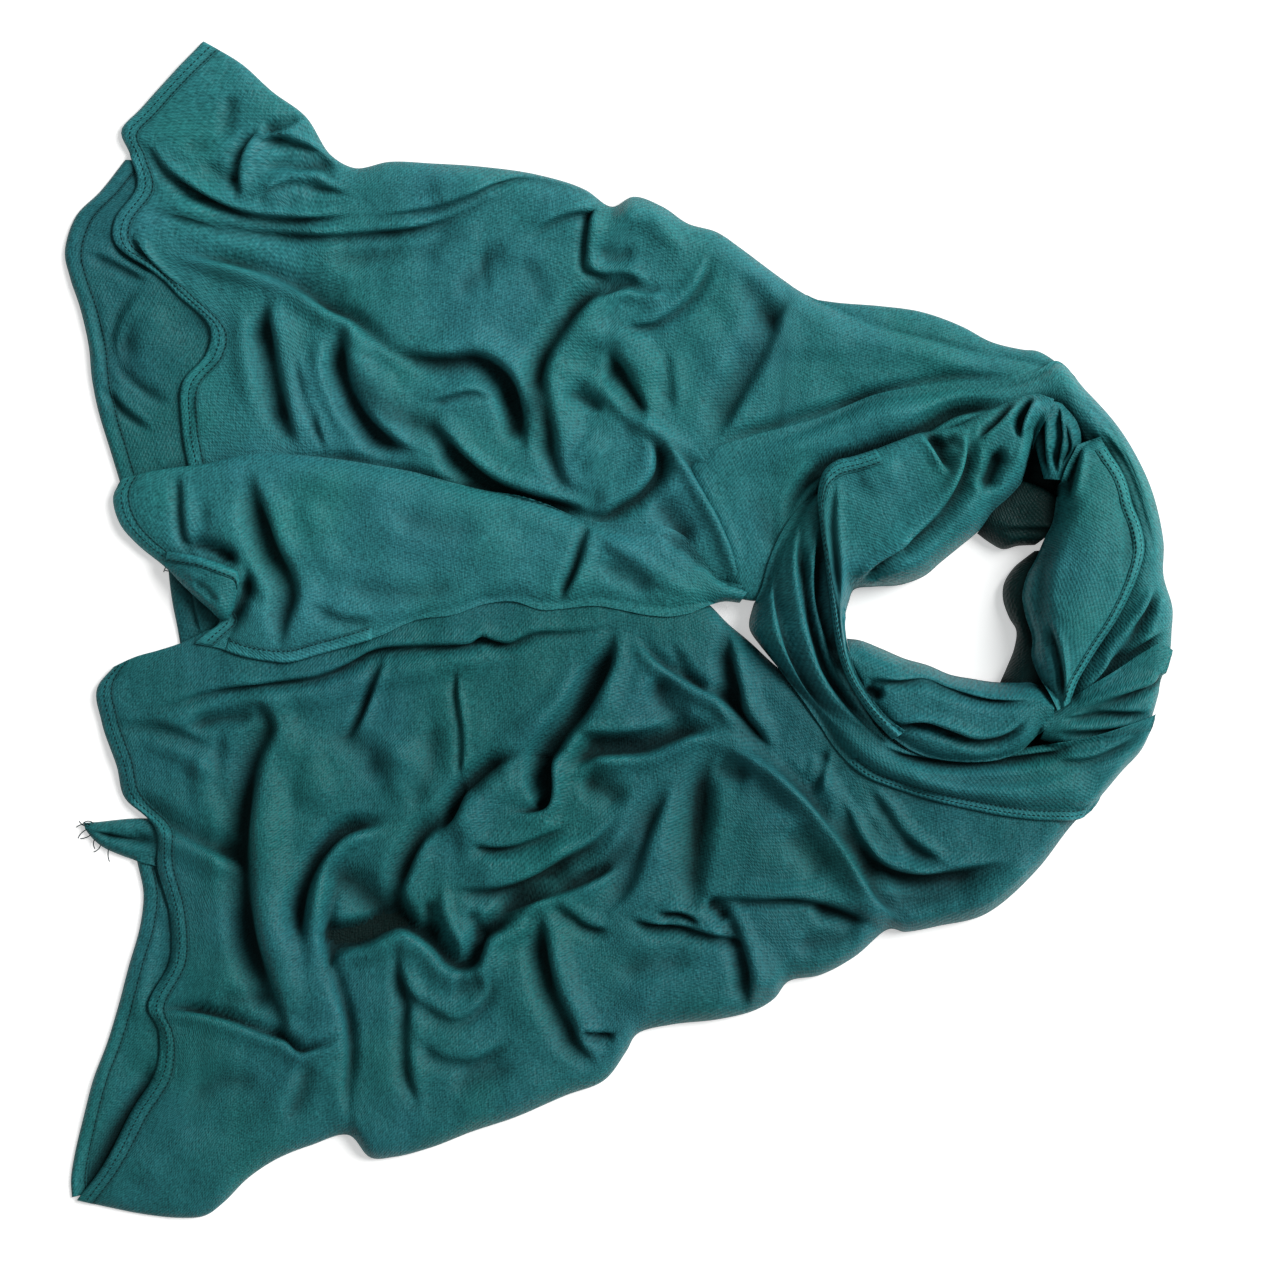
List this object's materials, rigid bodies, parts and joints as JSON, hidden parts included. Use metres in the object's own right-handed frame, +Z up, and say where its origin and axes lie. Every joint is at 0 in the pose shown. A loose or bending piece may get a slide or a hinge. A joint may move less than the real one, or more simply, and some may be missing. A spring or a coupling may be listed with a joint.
{
  "type": "hijab headscarf",
  "caption": "Long satin-faced scarf cloth laid flat: wound into one open loop at one end, with two wide folded tails that lie on each other and have turned, stitched hems.",
  "frame": {"origin": "centre of the laid scarf's plan outline, on the surface that it lies on", "axes": "+Z up from that surface, +Y from the lower tail to the upper tail, +X from the tails' hemmed ends to the loop"},
  "size_m": [0.664, 0.7056, 0.0474],
  "materials": {
    "cloth_upper": "teal satin weave, soft sheen, fine crosswise rib",
    "cloth_lower": "the same teal satin weave, lying lower and in softer light",
    "cloth_inside": "the same cloth, matt, deep between the layers"
  },
  "bodies": {
    "root": {"corner_tab": "cloth_lower", "lower_back_end": "cloth_lower", "lower_back_end_hem": "cloth_lower", "lower_tail": "cloth_lower", "lower_tail_hem": "cloth_lower", "middle_back_end": "cloth_lower", "middle_flap": "cloth_upper", "middle_flap_hem": "cloth_upper", "middle_flap_lower_hem": "cloth_upper", "outer_back_strip": "cloth_upper", "ring_band": "cloth_upper", "ring_fan": "cloth_upper", "ring_hidden_layers": "cloth_inside", "ring_inner_bottom": "cloth_upper", "ring_inner_right": "cloth_inside", "ring_inner_top": "cloth_inside", "ring_left_wrap": "cloth_upper", "ring_left_wrap_hem": "cloth_upper", "ring_right_wrap": "cloth_upper", "ring_right_wrap_hem": "cloth_upper", "ring_strands": "cloth_inside", "ring_top_wrap": "cloth_upper", "ring_top_wrap_hem": "cloth_upper", "tails_hidden_layers": "cloth_inside", "turned_corner": "cloth_lower", "upper_back_end": "cloth_lower", "upper_back_end_hem": "cloth_lower", "upper_tail": "cloth_upper", "upper_tail_hem": "cloth_upper"}
  },
  "joints": []
}
